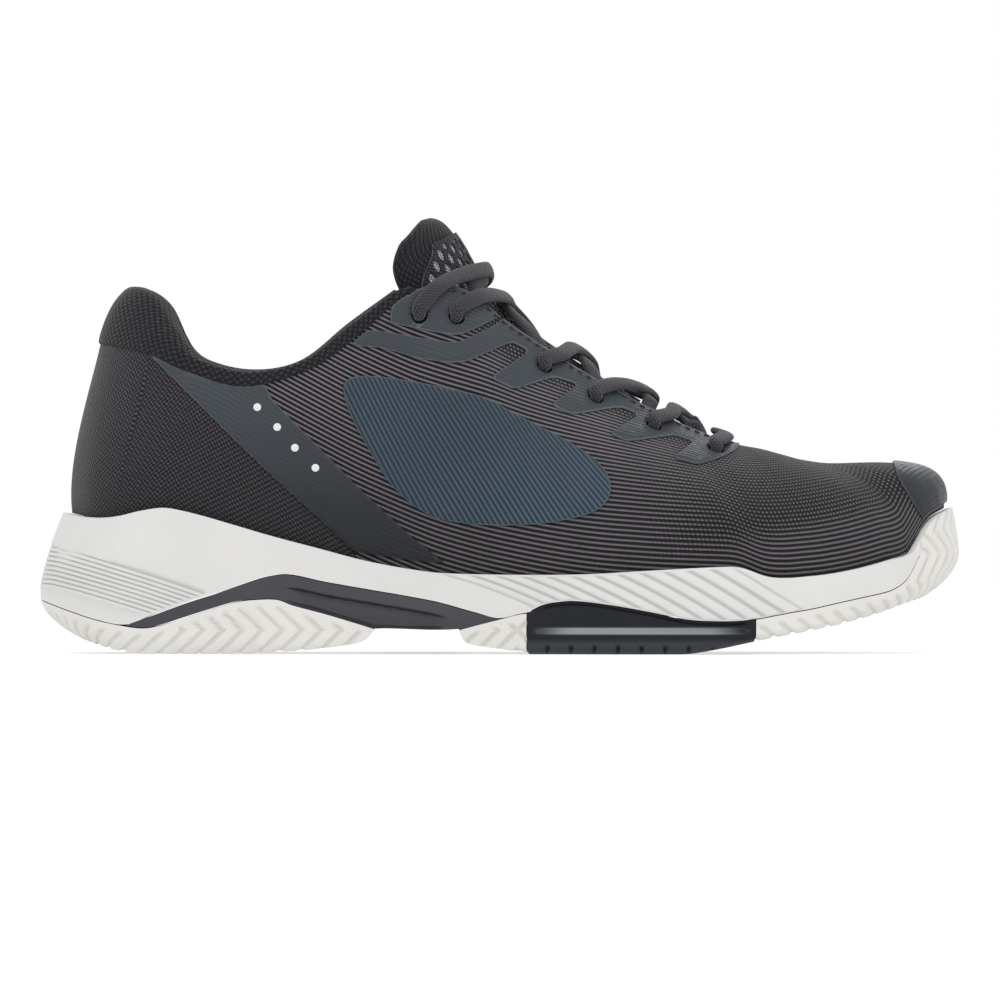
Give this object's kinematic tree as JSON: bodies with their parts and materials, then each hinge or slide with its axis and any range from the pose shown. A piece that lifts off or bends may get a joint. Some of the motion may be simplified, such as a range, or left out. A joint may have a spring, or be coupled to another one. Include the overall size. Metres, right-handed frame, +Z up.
{
  "type": "court shoe",
  "caption": "Low-cut lace-up court shoe for the right foot, ribbed dark textile upper, padded collar, light moulded sole with dark arch shank.",
  "frame": {"origin": "on the ground under the middle of the shoe's bounding box", "axes": "+X towards the toe, +Y towards the inner (medial) side, +Z up"},
  "size_m": [0.2987, 0.1131, 0.1424],
  "materials": {
    "rubber_white": "satin moulded rubber",
    "rubber_dark": "satin moulded rubber",
    "foam_white": "matt moulded foam",
    "shank_dark": "satin injection-moulded plastic",
    "board": "non-woven board",
    "sockliner": "brushed textile over foam",
    "upper_textile": "ribbed engineered textile",
    "heel_textile": "fine diagonal textile",
    "stiffener": "plain thermoplastic sheet",
    "lining_textile": "knitted lining",
    "film_slate": "satin fused film",
    "panel_blue": "fused film with fine diagonal hatching",
    "collar_knit": "padded knit",
    "tongue_knit": "padded knit",
    "tongue_open_mesh": "open spacer mesh",
    "lace_textile": "flat woven lace",
    "aglet_plastic": "clear-coated tip"
  },
  "bodies": {
    "shoe": {"outsole_heel": "rubber_white", "outsole_forefoot": "rubber_white", "outsole_lateral_insert": "rubber_dark", "midsole": "foam_white", "shank": "shank_dark", "lasting_board": "board", "insole": "sockliner", "vamp_mesh": "upper_textile", "quarter_lateral": "upper_textile", "quarter_medial": "upper_textile", "heel_panel": "heel_textile", "heel_counter": "stiffener", "toe_puff": "stiffener", "lining": "lining_textile", "strap_film_lateral": "film_slate", "strap_film_medial": "film_slate", "eyestay_film_lateral": "film_slate", "eyestay_film_medial": "film_slate", "eyestay_top_lateral": "film_slate", "eyestay_top_medial": "film_slate", "toe_film": "film_slate", "side_panel_lateral": "panel_blue", "side_panel_medial": "panel_blue", "collar": "collar_knit", "lace": "lace_textile", "aglet_lateral": "aglet_plastic", "aglet_medial": "aglet_plastic"},
    "tongue": {"tongue": "tongue_knit", "tongue_mesh": "tongue_open_mesh"}
  },
  "joints": [
    {"name": "tongue_hinge", "type": "hinge", "parent": "shoe", "child": "tongue", "pos_m": [0.088, 0, 0.058], "axis": [0, 1, 0], "range_deg": [-6, 0], "stiffness_Nm_per_rad": 0.4}
  ]
}
